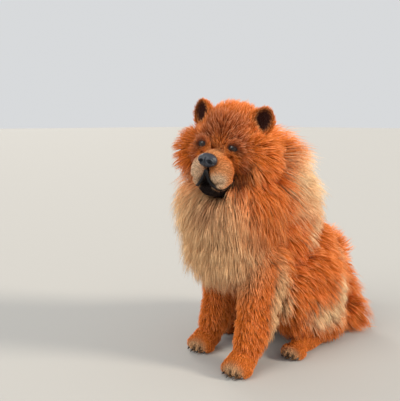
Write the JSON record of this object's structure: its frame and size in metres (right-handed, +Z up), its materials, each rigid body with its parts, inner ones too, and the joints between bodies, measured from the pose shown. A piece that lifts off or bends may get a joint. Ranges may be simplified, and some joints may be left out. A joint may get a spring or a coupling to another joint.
{
  "type": "chow chow",
  "caption": "Life-size model of a seated chow chow with a deep mane, small cupped ears and a plumed tail, resting on its paws, haunches and tail.",
  "frame": {"origin": "on the floor under the middle of the dog's box", "axes": "+Z up, -Y the way the dog's body faces, +X to the dog's left"},
  "size_m": [0.38, 0.675, 0.7012],
  "materials": {
    "red_coat": "dense fur",
    "orange_coat": "long, soft fur",
    "tan_coat": "short fur",
    "nose_leather": "moist, pebbled",
    "eyes": "wet, glossy"
  },
  "bodies": {
    "root": {"head": "red_coat", "ear_left": "red_coat", "ear_right": "red_coat", "mane": "orange_coat", "torso": "orange_coat", "tail": "orange_coat", "foreleg_left": "orange_coat", "foreleg_right": "orange_coat", "thigh_left": "orange_coat", "thigh_right": "orange_coat", "lower_jaw": "tan_coat", "forepaw_left": "tan_coat", "forepaw_right": "tan_coat", "hindpaw_left": "tan_coat", "hindpaw_right": "tan_coat", "nose": "nose_leather", "eye_left": "eyes", "eye_right": "eyes"}
  },
  "joints": []
}
